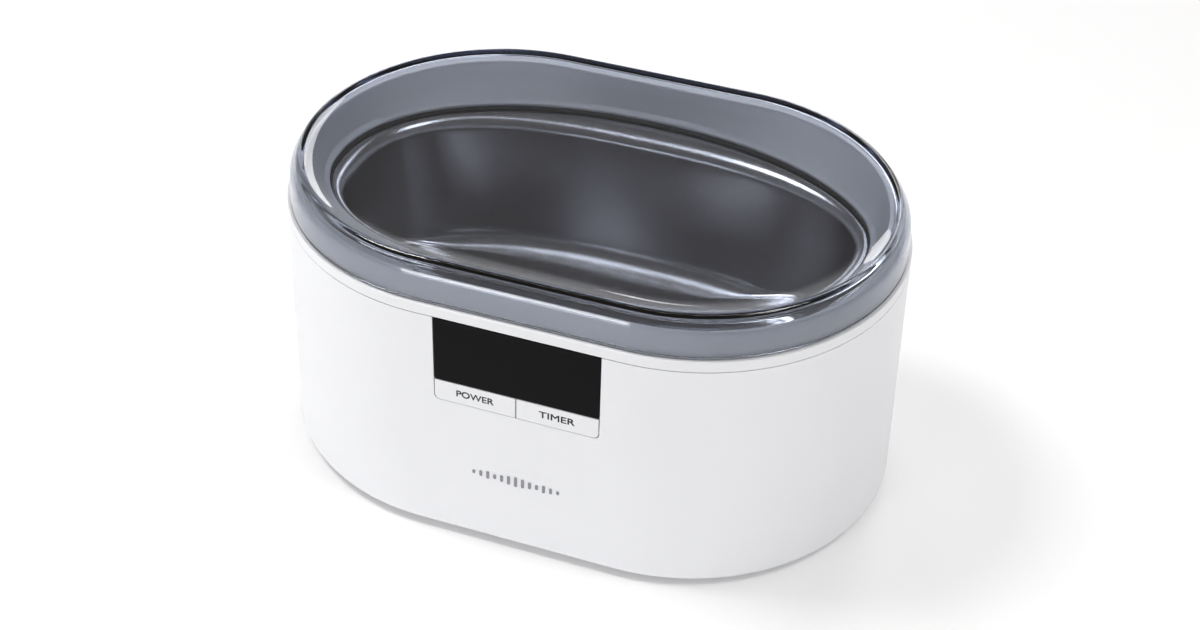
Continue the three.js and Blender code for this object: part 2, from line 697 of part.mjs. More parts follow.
function mainBoard() {
  const { halfLength, halfWidth, z } = MAIN_BOARD;
  const plate = block([-halfLength, halfLength], [-halfWidth, halfWidth], [z, z + BOARD]);
  const hole = rod(SCREW_HOLE, z - 5, z + 5);
  return cut(plate, ...QUADRANTS.map(
    ([, x, y]) => hole.clone().translate(x * BOARD_SCREW.x, y * BOARD_SCREW.y, 0),
  ));
}

add('main_board', mainBoard(), 'greenLaminate');

const ON_BOARD = MAIN_BOARD_TOP + 0.2;

// A comb section: a plate along x with fins that stand back from it.
const HEAT_SINK = { length: 32, plate: 2.5, fin: 1.4, fins: 7, depth: 10, height: 15 };

function heatSink() {
  const { length, plate, fin, fins, depth, height } = HEAT_SINK;
  const pitch = (length - fin) / (fins - 1);
  const shape = new THREE.Shape();
  shape.moveTo(0, 0);
  shape.lineTo(length, 0);
  for (let i = fins - 1; i >= 0; i -= 1) {
    shape.lineTo(i * pitch + fin, depth);
    shape.lineTo(i * pitch, depth);
    if (i > 0) {
      shape.lineTo(i * pitch, plate);
      shape.lineTo((i - 1) * pitch + fin, plate);
    }
  }
  return slab(shape, 0, height);
}

add('heat_sink', heatSink(), 'aluminium', [13, 6, ON_BOARD]);

function powerTransistor() {
  const legs = [-2.5, 0, 2.5].map((x) => block([x - 0.4, x + 0.4], [1.5, 2.2], [0, 3.5]));
  const body = block([-5, 5], [0, 4.4], [3, 12]);
  const tab = block([-5, 5], [3.1, 4.4], [11, 14.5]);
  return join(body, tab, ...legs);
}

add('power_transistor_left', powerTransistor(), 'blackPlastic', [21, 1.3, ON_BOARD]);
add('power_transistor_right', powerTransistor(), 'blackPlastic', [37, 1.3, ON_BOARD]);

// Ferrite frame with two windows, and a winding round its middle leg.
const CORE = { width: 22, length: 19, height: 5, leg: 2.6, window: 4.6, windowLength: 12 };
const TRANSFORMER = [-2, -17, ON_BOARD + 8.2];

function transformerCore() {
  const { width, length, height, leg, window, windowLength } = CORE;
  const frame = block([-width / 2, width / 2], [-length / 2, length / 2], [-height / 2, height / 2]);
  const opening = block([0, window], [-windowLength / 2, windowLength / 2], [-height, height]);
  return cut(frame, opening.clone().translate(-leg - window, 0, 0), opening.clone().translate(leg, 0, 0));
}

function transformerWinding() {
  const { height, leg, window, windowLength } = CORE;
  const outer = roundedRectangle(2 * (leg + window) - 0.6, height + 2 * window - 0.6, 2);
  outer.holes.push(roundedRectangle(2 * leg + 0.6, height + 0.6, 0.4));
  const half = windowLength / 2 - 0.4;
  return slab(outer, -half, half, 2).rotateX(Math.PI / 2);
}

add('transformer_core', transformerCore(), 'ferrite', TRANSFORMER);
add('transformer_winding', transformerWinding(), 'copper', TRANSFORMER);

add('choke', new THREE.TorusGeometry(6, 2.8, 6, 16), 'copper', [-27, 12, ON_BOARD + 2.9]);

// Round can with a rolled groove near its foot.
const canSection = [
  [0, 0], [6, 0], [6.3, 1], [6.3, 2.4], [5.8, 3], [6.3, 3.6], [6.3, 14], [5.8, 14.6], [0, 14.6],
];
add('bulk_capacitor', turned(canSection, 14), 'capacitorSleeve', [-37, -13, ON_BOARD]);
add('film_capacitor', slab(roundedRectangle(8, 18, 1), 0, 12, 2), 'yellowFilm', [-17, -17, ON_BOARD]);

// Glass cartridge with metal ends, lying along x.
const fuseSection = [
  [0, -10], [2.6, -10], [2.6, -4.6], [2.4, -4.4], [2.4, 4.4], [2.6, 4.6], [2.6, 10], [0, 10],
];
add('fuse', turned(fuseSection), 'glass', [-32, 25, ON_BOARD + 2.8], [0, Math.PI / 2, 0]);

// A pin header with a keyed open top.
function boardConnector(length) {
  const shell = block([-length / 2, length / 2], [-3.5, 3.5], [0, 8]);
  const well = block([-length / 2 + 1, length / 2 - 1], [-2.5, 2.5], [3, 9]);
  const notch = block([-length / 4, length / 4], [2, 4], [5, 9]);
  return cut(shell, well, notch);
}

const MAINS_CONNECTOR = [4, 24.5];
const TRANSDUCER_CONNECTOR = [40, -19];
const DISPLAY_CONNECTOR = [20, -25];

add('mains_connector', boardConnector(12), 'nylon', [...MAINS_CONNECTOR, ON_BOARD]);
add('transducer_connector', boardConnector(9), 'nylon', [...TRANSDUCER_CONNECTOR, ON_BOARD]);
add('display_connector', boardConnector(14), 'nylon', [...DISPLAY_CONNECTOR, ON_BOARD]);

// ---- Appliance inlet ----

function inletStadium(halfStraight, radius) {
  const shape = new THREE.Shape();
  shape.absarc(halfStraight, 0, radius, -Math.PI / 2, Math.PI / 2);
  shape.absarc(-halfStraight, 0, radius, Math.PI / 2, 1.5 * Math.PI);
  return shape;
}

// Drawn looking into the socket, then turned so that the socket opens towards +Y.
function mainsInlet() {
  const { halfWidth, halfHeight, face, rear } = INLET;
  const body = slab(roundedRectangle(2 * halfWidth, 2 * halfHeight, 1.2), rear, face, 3);
  const { width, height, corner, low, high } = INLET_FLANGE;
  const flange = slab(roundedRectangle(width, height, corner), low, high, 3);
  const socket = slab(inletStadium(SOCKET.halfStraight, SOCKET.radius), SOCKET.floor, face + 1, 5);
  const bores = [-1, 1].map((side) => rod(PIN.radius + 0.2, rear - 1, SOCKET.floor + 1)
    .translate(side * SOCKET.halfStraight, 0, 0));
  return cut(join(body, flange), socket, ...bores);
}

const FACING_BACK = [-Math.PI / 2, 0, 0];
add('mains_inlet', mainsInlet(), 'blackPlastic', [0, 0, INLET.z], FACING_BACK);

function inletPin() {
  const { radius, tip, tail } = PIN;
  return turned([[0, tail], [radius, tail], [radius, tip - 1], [0.5, tip], [0, tip]]);
}

for (const [name, side] of [['left', -1], ['right', 1]]) {
  add(`inlet_pin_${name}`, inletPin(), 'brass', [side * SOCKET.halfStraight, 0, INLET.z], FACING_BACK);
}

// ---- Leads: each starts just clear of its terminal and ends inside its connector's well ----

const wellZ = ON_BOARD + 4.5;

for (const [name, side, finish] of [['live', -1, 'brownPvc'], ['neutral', 1, 'bluePvc']]) {
  const start = side * SOCKET.halfStraight;
  const end = MAINS_CONNECTOR[0] + side * 2.6;
  add(`mains_lead_${name}`, wire([
    [start, PIN.tail - 0.4, INLET.z],
    [start, PIN.tail - 5, INLET.z],
    [start + side * 1.5, 37, INLET.z + 7],
    [end + side * 0.6, 28, wellZ + 11],
    [end, MAINS_CONNECTOR[1], wellZ + 7],
    [end, MAINS_CONNECTOR[1], wellZ],
  ], 1), finish);
}

for (const [name, side, finish] of [['live', -1, 'redPvc'], ['return', 1, 'blackPvc']]) {
  const end = TRANSDUCER_CONNECTOR[0] + side * 1.9;
  add(`transducer_lead_${name}`, wire([
    [17, -9 + side * 1.6, PIEZO_FOOT - 1.3],
    [22, -11 + side * 1.6, PIEZO_FOOT - 2.6],
    [30 + side, -15 + side * 1.6, PIEZO_FOOT - 3],
    [end, TRANSDUCER_CONNECTOR[1], wellZ + 6.5],
    [end, TRANSDUCER_CONNECTOR[1], wellZ],
  ], 0.9), finish);
}

// Flat cable from the back of the display board down to its connector.
function displayRibbon() {
  const [x, y] = DISPLAY_CONNECTOR;
  const boardBack = DISPLAY_BOARD_Y + BOARD;
  const curve = new THREE.CatmullRomCurve3([
    [x, boardBack + 0.8, 57],
    [x, boardBack + 0.9, 50],
    [x, boardBack + 3, 40],
    [x, y - 17, 31],
    [x, y - 4, 27],
    [x, y, wellZ + 7],
    [x, y, wellZ],
  ].map((point) => new THREE.Vector3(...point)));
  const section = roundedRectangle(10, 1, 0.3);
  return new THREE.ExtrudeGeometry(section, { steps: 16, extrudePath: curve, curveSegments: 1 });
}

add('display_ribbon', displayRibbon(), 'greyPvc');

export default cleaner;
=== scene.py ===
import json
import math

import bmesh
import bpy
from mathutils import Matrix, Quaternion, Vector


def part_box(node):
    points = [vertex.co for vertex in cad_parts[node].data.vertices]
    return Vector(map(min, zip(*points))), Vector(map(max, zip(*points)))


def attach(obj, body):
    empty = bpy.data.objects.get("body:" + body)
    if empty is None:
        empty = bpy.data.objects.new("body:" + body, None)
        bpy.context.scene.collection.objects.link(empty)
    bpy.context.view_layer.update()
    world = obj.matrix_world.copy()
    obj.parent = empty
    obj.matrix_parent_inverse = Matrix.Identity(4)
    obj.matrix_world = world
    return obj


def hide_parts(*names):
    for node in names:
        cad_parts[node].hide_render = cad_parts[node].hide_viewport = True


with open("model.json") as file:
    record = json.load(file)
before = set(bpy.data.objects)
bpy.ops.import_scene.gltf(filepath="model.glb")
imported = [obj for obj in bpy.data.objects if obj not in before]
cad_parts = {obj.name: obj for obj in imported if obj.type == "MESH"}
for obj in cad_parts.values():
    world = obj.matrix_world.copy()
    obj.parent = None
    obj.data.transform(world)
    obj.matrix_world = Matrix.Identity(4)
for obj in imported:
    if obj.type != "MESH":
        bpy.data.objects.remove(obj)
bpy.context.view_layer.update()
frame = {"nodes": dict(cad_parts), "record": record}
scene = bpy.context.scene
mm = 0.001
mixFactor, mixFirst, mixSecond, mixColour = 0, 6, 7, 2    # colour sockets of a Mix node, and its output
print("frame loaded:", len(frame["nodes"]), "nodes")


# A colour written as sRGB hex, in the linear values that shaders and lights use.
def linear(hexColour):
    parts = [int(hexColour[i:i + 2], 16) / 255 for i in (1, 3, 5)]
    return (*[p / 12.92 if p <= 0.04045 else ((p + 0.055) / 1.055) ** 2.4 for p in parts], 1)


def addNode(tree, kind, inputs=None, **settings):
    made = tree.nodes.new(kind)
    for key, value in settings.items():
        setattr(made, key, value)
    for key, value in (inputs or {}).items():
        if isinstance(value, bpy.types.NodeSocket):
            tree.links.new(value, made.inputs[key])
        else:
            made.inputs[key].default_value = value
    return made


# A new material with its node tree, its shader and the place on the piece that patterns read.
def newMaterial(name):
    material = bpy.data.materials.new(name)
    material.use_nodes = True
    tree = material.node_tree
    shader = tree.nodes["Principled BSDF"]
    place = addNode(tree, "ShaderNodeTexCoord").outputs["Object"]
    return material, tree, shader, place


# A colour that drifts a little between two tones, over a fine surface grain.
def grainedMaterial(name, look):
    material, tree, shader, place = newMaterial(name)
    drift = addNode(tree, "ShaderNodeTexNoise", {"Vector": place, "Scale": 1 / look["driftSize"],
                                                 "Detail": 2})
    tones = addNode(tree, "ShaderNodeMix", {
        mixFactor: drift.outputs["Fac"], mixFirst: linear(look["colour"]), mixSecond: linear(look["tone"]),
    }, data_type="RGBA")
    grain = addNode(tree, "ShaderNodeTexNoise", {"Vector": place, "Scale": 1 / look["grainSize"],
                                                 "Detail": 3})
    bump = addNode(tree, "ShaderNodeBump", {"Height": grain.outputs["Fac"], "Strength": look["grain"],
                                            "Distance": look["grainDepth"]})
    gloss = addNode(tree, "ShaderNodeMapRange", {"Value": drift.outputs["Fac"],
                                                 "To Min": look["roughness"] - look["spread"],
                                                 "To Max": look["roughness"] + look["spread"]})
    tree.links.new(tones.outputs[mixColour], shader.inputs["Base Color"])
    tree.links.new(bump.outputs["Normal"], shader.inputs["Normal"])
    tree.links.new(gloss.outputs["Result"], shader.inputs["Roughness"])
    shader.inputs["Metallic"].default_value = look.get("metallic", 0)
    if "ior" in look:
        shader.inputs["IOR"].default_value = look["ior"]
    shader.inputs["Specular IOR Level"].default_value = look.get("specular", 0.5)
    return material


# Corners are (across, up, reach): a corner is rounded from reach before it to reach after it.
def roundedOutline(corners, steps=6):
    outline = []
    for i, (x, y, reach) in enumerate(corners):
        here = Vector((x, y))
        if reach == 0:
            outline.append(here)
            continue
        before, after = Vector(corners[i - 1][:2]), Vector(corners[(i + 1) % len(corners)][:2])
        start = here + (before - here).normalized() * reach
        end = here + (after - here).normalized() * reach
        for step in range(steps + 1):
            t = step / steps
            outline.append(start.lerp(here, t).lerp(here.lerp(end, t), t))
    return outline


# Makes the piece: faces outwards, smooth shading, and edges past the angle left sharp.
def finishMesh(name, mesh, sharpAngle=38):
    bmesh.ops.recalc_face_normals(mesh, faces=mesh.faces)
    for face in mesh.faces:
        face.smooth = True
    for edge in mesh.edges:
        edge.smooth = edge.calc_face_angle(0) < math.radians(sharpAngle)
    data = bpy.data.meshes.new(name)
    mesh.to_mesh(data)
    mesh.free()
    piece = bpy.data.objects.new(name, data)
    scene.collection.objects.link(piece)
    return piece


# Replaces the piece's mesh by the one that its modifiers make.
def applyModifiers(piece):
    graph = bpy.context.evaluated_depsgraph_get()
    made = bpy.data.meshes.new_from_object(piece.evaluated_get(graph))
    piece.modifiers.clear()
    piece.data = made


# Cuts each cutter's shape out of the piece and removes the cutter.
def cutAway(piece, cutters):
    for cutter in cutters:
        tool = piece.modifiers.new("cut", "BOOLEAN")
        tool.object = cutter
        tool.operation = "DIFFERENCE"
        tool.solver = "EXACT"
    applyModifiers(piece)
    for cutter in cutters:
        bpy.data.objects.remove(cutter)


# Rounds the sharp edges with a narrow bevel, so that they catch the light.
def softenEdges(piece, width, segments=3, angle=38):
    bevel = piece.modifiers.new("edges", "BEVEL")
    bevel.width = width
    bevel.segments = segments
    bevel.limit_method = "ANGLE"
    bevel.angle_limit = math.radians(angle)
    bevel.harden_normals = False
    weighted = piece.modifiers.new("normals", "WEIGHTED_NORMAL")
    weighted.keep_sharp = True


# Gives the piece its material and the body it rides on, and hides the CAD nodes it stands for.
def fit(piece, material, body, slotName, *nodes):
    piece.data.materials.clear()
    piece.data.materials.append(material)
    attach(piece, body)
    if nodes:
        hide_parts(*nodes)
    return piece


# Every plan ring is a stadium with the lid's straight part, or the tank's oval.
lidLow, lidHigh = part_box("lid")
lidFoot = lidLow.z / mm
lidRadius = (lidHigh.y - lidLow.y) / 2 / mm
halfStraight = (lidHigh.x - lidLow.x) / 2 / mm - lidRadius

plan = {
    "ringCount": 192,
    "straightShare": math.pi / 8,
    "rimHalfLength": 90,
    "rimHalfWidth": 56.5,
    "sideRate": 1.5,
    "squareness": 2.1,
    "squarenessRate": 0.06,
}


# A point of the stadium with round ends of that radius, in the direction turn.
def stadiumPoint(turn, radius, z):
    side, front = math.copysign(1, math.cos(turn)), math.copysign(1, math.sin(turn))
    folded = math.atan2(abs(math.sin(turn)), abs(math.cos(turn)))
    arc = math.pi / 2 - plan["straightShare"]
    if folded < arc:
        angle = folded / arc * math.pi / 2
        x, y = halfStraight + radius * math.cos(angle), radius * math.sin(angle)
    else:
        x, y = halfStraight * (math.pi / 2 - folded) / plan["straightShare"], radius
    return Vector((side * x, front * y, z)) * mm


# A point of the tank's oval, at that distance inwards from the visible rim.
def tankPoint(turn, inset, z):
    sideInset = inset * plan["sideRate"] if inset > 0 else inset
    power = 2 / (plan["squareness"] + plan["squarenessRate"] * max(inset, 0))
    x = (plan["rimHalfLength"] - inset) * math.copysign(abs(math.cos(turn)) ** power, math.cos(turn))
    y = (plan["rimHalfWidth"] - sideInset) * math.copysign(abs(math.sin(turn)) ** power, math.sin(turn))
    return Vector((x, y, z)) * mm


# The skin through rings of (point function, size, height). A closed section ends on its first ring.
def loft(rings, capped=False):
    mesh = bmesh.new()
    bmesh.ops.create_circle(mesh, segments=plan["ringCount"], radius=1)
    turns = mesh.verts.layers.float.new("turn")
    for vert in mesh.verts:
        vert[turns] = math.atan2(vert.co.y, vert.co.x)
    verts, edges = list(mesh.verts), list(mesh.edges)
    for i, (point, size, z) in enumerate(rings):
        if i:
            pulled = bmesh.ops.extrude_edge_only(mesh, edges=edges)["geom"]
            verts = [g for g in pulled if isinstance(g, bmesh.types.BMVert)]
            fresh = set(verts)
            edges = [g for g in pulled if isinstance(g, bmesh.types.BMEdge) and fresh.issuperset(g.verts)]
        for vert in verts:
            vert.co = point(vert[turns], size, z)
    if capped:
        bmesh.ops.holes_fill(mesh, edges=mesh.edges, sides=0)
    else:
        bmesh.ops.remove_doubles(mesh, verts=mesh.verts, dist=1e-7)
    return mesh


def stadiumRings(corners, steps=6):
    return [(stadiumPoint, p.x, p.y) for p in roundedOutline(corners, steps)]


# Satin moulded ABS: clean cool white with a soft sheen and a barely visible moulded grain.
whiteAbs = grainedMaterial("moulded ABS, satin white", {
    "colour": "#ECEDF0", "tone": "#E9EAED", "driftSize": 0.03, "grainSize": 0.0004, "grain": 0.12,
    "grainDepth": 0.00002, "roughness": 0.36, "spread": 0.02, "ior": 1.53})

# Matt moulded ABS: the flatter white of the underside.
baseAbs = grainedMaterial("moulded ABS, matt white", {
    "colour": "#DFE0E3", "tone": "#D8D9DC", "driftSize": 0.02, "grainSize": 0.0006, "grain": 0.3,
    "grainDepth": 0.00004, "roughness": 0.6, "spread": 0.05, "ior": 1.53})

# Gasket silicone: a dull dark grey line round the tank.
silicone = grainedMaterial("silicone rubber, matt", {
    "colour": "#3A3C42", "tone": "#33353A", "driftSize": 0.01, "grainSize": 0.0005, "grain": 0.2,
    "grainDepth": 0.00003, "roughness": 0.65, "spread": 0.05, "ior": 1.41})

# Acrylic window: deep black with clear mirror-like reflections.
blackAcrylic = grainedMaterial("acrylic sheet, black gloss", {
    "colour": "#060608", "tone": "#08080B", "driftSize": 0.05, "grainSize": 0.006, "grain": 0.02,
    "grainDepth": 0.00002, "roughness": 0.06, "spread": 0.02, "ior": 1.49, "specular": 0.1})

# Inlet plastic: a soft black with a faint fibre mottle.
blackPlastic = grainedMaterial("glass-filled nylon, black", {
    "colour": "#1C1C1F", "tone": "#232326", "driftSize": 0.004, "grainSize": 0.0004, "grain": 0.4,
    "grainDepth": 0.00004, "roughness": 0.5, "spread": 0.06, "ior": 1.53})

# Foot rubber: near black and dull, with fine dusty mottling.
footRubber = grainedMaterial("natural rubber, matt black", {
    "colour": "#232325", "tone": "#2E2E30", "driftSize": 0.003, "grainSize": 0.0005, "grain": 0.5,
    "grainDepth": 0.00005, "roughness": 0.85, "spread": 0.06, "ior": 1.52})

# Pad-printed inks: flat dark grey words and a lighter grey mark.
darkInk = grainedMaterial("pad printing ink, dark grey", {
    "colour": "#141519", "tone": "#1B1C21", "driftSize": 0.002, "grainSize": 0.0003, "grain": 0.2,
    "grainDepth": 0.00001, "roughness": 0.5, "spread": 0.04, "ior": 1.5})
greyInk = grainedMaterial("pad printing ink, mid grey", {
    "colour": "#8A8A93", "tone": "#90909A", "driftSize": 0.002, "grainSize": 0.0003, "grain": 0.2,
    "grainDepth": 0.00001, "roughness": 0.5, "spread": 0.04, "ior": 1.5})

# Turned brass: warm yellow metal with a bright, slightly streaky shine.
brass = grainedMaterial("turned brass", {
    "colour": "#C9A55A", "tone": "#C09A4C", "driftSize": 0.002, "grainSize": 0.0003, "grain": 0.15,
    "grainDepth": 0.00001, "roughness": 0.25, "spread": 0.05, "metallic": 1})
print("moulded materials made")


# Clear tinted styrene: a cool smoky wall that you see the collar and tank through.
def styrene(look):
    material, tree, shader, place = newMaterial("tinted styrene, clear")
    shader.inputs["Transmission Weight"].default_value = 1
    shader.inputs["IOR"].default_value = look["ior"]
    shader.inputs["Roughness"].default_value = look["roughness"]
    drift = addNode(tree, "ShaderNodeTexNoise", {"Vector": place, "Scale": 1 / look["flowSize"],
                                                 "Detail": 1})
    tint = addNode(tree, "ShaderNodeMix", {
        mixFactor: drift.outputs["Fac"], mixFirst: linear(look["tint"]), mixSecond: linear(look["tintDeep"]),
    }, data_type="RGBA")
    tree.links.new(tint.outputs[mixColour], shader.inputs["Base Color"])
    bump = addNode(tree, "ShaderNodeBump", {"Height": drift.outputs["Fac"], "Strength": look["flow"],
                                            "Distance": look["flowDepth"]})
    tree.links.new(bump.outputs["Normal"], shader.inputs["Normal"])
    smoke = addNode(tree, "ShaderNodeVolumeAbsorption", {"Color": linear(look["smoke"]),
                                                         "Density": look["density"]})
    tree.links.new(smoke.outputs["Volume"], tree.nodes["Material Output"].inputs["Volume"])
    return material


tintedStyrene = styrene({
    "tint": "#FCFDFE", "tintDeep": "#FAFBFD", "ior": 1.57, "roughness": 0.0, "smoke": "#9CA9C2",
    "density": 190, "flowSize": 0.03, "flow": 0.01, "flowDepth": 0.0002})


# Drawn stainless steel: a cool bright metal with faint vertical drawing marks.
def drawnSteel(look):
    material, tree, shader, place = newMaterial("stainless steel, drawn and polished")
    shader.inputs["Metallic"].default_value = 1
    stretch = addNode(tree, "ShaderNodeMapping", {"Vector": place, "Scale": look["stretch"]})
    marks = addNode(tree, "ShaderNodeTexNoise", {"Vector": stretch.outputs["Vector"],
                                                 "Scale": 1 / look["markSize"], "Detail": 3})
    wave = addNode(tree, "ShaderNodeTexNoise", {"Vector": place, "Scale": 1 / look["waveSize"], "Detail": 1})
    tones = addNode(tree, "ShaderNodeMix", {
        mixFactor: marks.outputs["Fac"], mixFirst: linear(look["colour"]), mixSecond: linear(look["tone"]),
    }, data_type="RGBA")
    tree.links.new(tones.outputs[mixColour], shader.inputs["Base Color"])
    gloss = addNode(tree, "ShaderNodeMapRange", {"Value": marks.outputs["Fac"], "To Min": look["smooth"],
                                                 "To Max": look["dull"]})
    tree.links.new(gloss.outputs["Result"], shader.inputs["Roughness"])
    fine = addNode(tree, "ShaderNodeBump", {"Height": marks.outputs["Fac"], "Strength": look["marks"],
                                            "Distance": look["markDepth"]})
    broad = addNode(tree, "ShaderNodeBump", {
        "Height": wave.outputs["Fac"], "Strength": look["wave"], "Distance": look["waveDepth"],
        "Normal": fine.outputs["Normal"]})
    tree.links.new(broad.outputs["Normal"], shader.inputs["Normal"])
    return material


steel = drawnSteel({
    "colour": "#C2C2C4", "tone": "#B4B4B7", "stretch": (1, 1, 0.05), "markSize": 0.0012, "smooth": 0.22,
    "dull": 0.28, "marks": 0.01, "markDepth": 0.000005, "waveSize": 0.03, "wave": 0.08, "waveDepth": 0.0004})
print("lid and tank materials made")


# Lid: radii of the plan's round ends, and heights above the lower edge. A reach is how far a corner rounds.
lidShape = {
    "wall": 2.0, "taper": 0.6, "skirt": 8.9, "crestRadius": 64.1, "crest": 13.84, "panelRadius": 57.2,
    "panel": 11.4, "dish": 4.0, "dishShift": 0.4, "panelEnd": 6, "crestIn": 0.7, "crestDrop": 1.1,
    "shoulderDrop": 1.5, "innerReach": 1.2, "shoulderReach": 1.5, "crestReach": 1.7,
    "footInner": 0.3, "footOuter": 0.4, "steps": 8, "sharpAngle": 50,
}


# The wall's section runs from the inner panel, down inside the skirt, and back up and over the crest.
def buildLid(s):
    under = s["panel"] - s["wall"]
    skirtTop = lidRadius - s["taper"]
    corners = [
        (s["panelRadius"] - s["panelEnd"], under, 0),
        (s["panelRadius"] - s["dishShift"], under, s["dish"]),
        (s["crestRadius"] - s["crestIn"], s["crest"] - s["wall"] - s["crestDrop"], s["innerReach"]),
        (skirtTop - s["wall"], s["skirt"] - s["shoulderDrop"], s["innerReach"]),
        (lidRadius - s["wall"], 0, s["footInner"]),
        (lidRadius, 0, s["footOuter"]),
        (skirtTop, s["skirt"], s["shoulderReach"]),
        (s["crestRadius"], s["crest"], s["crestReach"]),
        (s["panelRadius"], s["panel"], s["dish"]),
        (s["panelRadius"] - s["panelEnd"], s["panel"], 0),
    ]
    return loft(stadiumRings([(r, lidFoot + z, reach) for r, z, reach in corners], s["steps"]), capped=True)


lid = finishMesh("clearLid", buildLid(lidShape), lidShape["sharpAngle"])
fit(lid, tintedStyrene, "lid", "smoky_clear", "lid")
print("lid built")


# Top cover: a ledge for the lid, a collar inside it, and a slope down to the lip over the tank's gasket.
coverLow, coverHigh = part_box("top_cover")
coverShape = {
    "radius": 68.8, "foot": 85.15, "ledge": 89.0, "top": coverHigh.z / mm,
    "collarRadius": 65.5, "taper": 0.7, "collarWall": 1.8, "collarEdge": 0.5, "collarBevel": 0.7,
    "lipTop": 87.2, "lipRise": 0.8, "lipFoot": 86.2, "lipReach": 0.4, "lipBack": 2.4, "lipWall": 2.2,
    "tongueRadius": 65.9, "tongueWall": 1.9, "tongueFoot": coverLow.z / mm, "slopeFoot": 4.8,
    "edge": 0.3, "edgeAngle": 35,
}


def buildCover(s):
    collar, tongue = s["collarRadius"], s["tongueRadius"]
    rings = [
        (stadiumPoint, s["radius"], s["foot"]),
        (stadiumPoint, s["radius"], s["ledge"]),
        (stadiumPoint, collar, s["ledge"]),
        (stadiumPoint, collar - s["taper"], s["top"]),
        (stadiumPoint, collar - s["collarWall"], s["top"]),
        (stadiumPoint, collar - s["collarWall"] - s["collarEdge"], s["top"] - s["collarBevel"]),
        (tankPoint, -s["lipBack"], s["lipTop"] + s["lipRise"]),
        (tankPoint, -s["lipReach"], s["lipTop"]),
        (tankPoint, -s["lipReach"], s["lipFoot"]),
        (tankPoint, -s["lipWall"], s["lipFoot"]),
        (stadiumPoint, tongue - s["tongueWall"], s["top"] - s["slopeFoot"]),
        (stadiumPoint, tongue - s["tongueWall"], s["tongueFoot"]),
        (stadiumPoint, tongue, s["tongueFoot"]),
        (stadiumPoint, tongue, s["foot"]),
    ]
    return loft([*rings, rings[0]])


cover = finishMesh("topCover", buildCover(coverShape))
softenEdges(cover, coverShape["edge"] * mm, angle=coverShape["edgeAngle"])
fit(cover, whiteAbs, "base", "white_abs", "top_cover")
print("top cover built")


# Housing: a drafted shell with a notch for the window and keys, and a hole for the inlet.
housingShape = {
    "seamRadius": 68.8, "draft": 0.0195, "seam": 85.1, "top": 85.0, "foot": 2.0, "edgeStart": 5.0,
    "edgeInset": 0.2, "edgeReach": 2.4, "wall": 2.5, "steps": 8, "softEdge": 0.15, "softAngle": 45,
    "notchHalfWidth": 27.1, "notchFoot": 54.1, "notchCorner": 2.0, "notchHead": 3, "notchDepth": (-76, -60),
    "inletX": 11.0, "inletZ": 17.0, "inletHalfHeight": 5.8, "inletCorner": 0.6, "inletSteps": 3,
    "inletDepth": (60, 76),
}


# Radius of the round ends at that height: the draft widens them towards the foot.
def radiusAt(z, s=housingShape):
    return s["seamRadius"] + (s["seam"] - z) * s["draft"]


# A plate whose outline lies in the XZ plane and whose thickness runs along +Y.
def plateMesh(outline, low, high):
    mesh = bmesh.new()
    verts = [mesh.verts.new((p.x * mm, low * mm, p.y * mm)) for p in outline]
    face = mesh.faces.new(verts)
    pulled = bmesh.ops.extrude_face_region(mesh, geom=[face])["geom"]
    bmesh.ops.translate(mesh, verts=[g for g in pulled if isinstance(g, bmesh.types.BMVert)],
                        vec=(0, (high - low) * mm, 0))
    return mesh


# The outline of an upright rectangle with its middle at height z.
def rectangle(halfWidth, halfHeight, z, corner, steps=5):
    return roundedOutline([(-halfWidth, z - halfHeight, corner), (halfWidth, z - halfHeight, corner),
                           (halfWidth, z + halfHeight, corner), (-halfWidth, z + halfHeight, corner)], steps)


def buildHousing(s):
    z = s["foot"]
    rings = stadiumRings([
        (radiusAt(s["edgeStart"]) - s["edgeInset"], z, s["edgeReach"]),
        (s["seamRadius"], s["top"], 0),
        (s["seamRadius"] - s["wall"], s["top"], 0),
        (radiusAt(s["edgeStart"]) - s["wall"], z, 0),
    ], s["steps"])
    piece = finishMesh("housingShell", loft([*rings, rings[0]]))
    w, foot, head, corner = s["notchHalfWidth"], s["notchFoot"], s["seam"] + s["notchHead"], s["notchCorner"]
    notch = finishMesh("notch", plateMesh(roundedOutline([
        (-w, head, 0), (-w, foot, corner), (w, foot, corner), (w, head, 0),
    ]), *s["notchDepth"]))
    hole = rectangle(s["inletX"], s["inletHalfHeight"], s["inletZ"], s["inletCorner"], s["inletSteps"])
    cutAway(piece, [notch, finishMesh("inletHole", plateMesh(hole, *s["inletDepth"]))])
    return piece


housing = buildHousing(housingShape)
for polygon in housing.data.polygons:
    polygon.use_smooth = True
softenEdges(housing, housingShape["softEdge"] * mm, angle=housingShape["softAngle"])
fit(housing, whiteAbs, "base", "white_abs", "housing")
print("housing built")


# Front panel: heights from the seam down, in the plane of the drafted front wall.
panelShape = {
    "halfWidth": 26.8, "top": -0.2, "plate": 2.0,
    "windowFoot": -23.15, "windowCorner": 0.6, "windowSteps": 4, "windowSoft": 0.12,
    "keyGap": 0.4, "keyTop": -23.4, "keyFoot": -30.84, "keyCorner": 2.0, "keyCornerSmall": 0.3,
    "keySoft": 0.28, "postX": 13.4, "postZ": -27.0, "postEnd": 6.15, "postWidth": 6, "postHeight": 4,
    "postOverlap": 0.5,
}
panelPlace = (Matrix.Translation((0, -housingShape["seamRadius"] * mm, housingShape["seam"] * mm))
              @ Matrix.Rotation(-math.atan(housingShape["draft"]), 4, "X"))


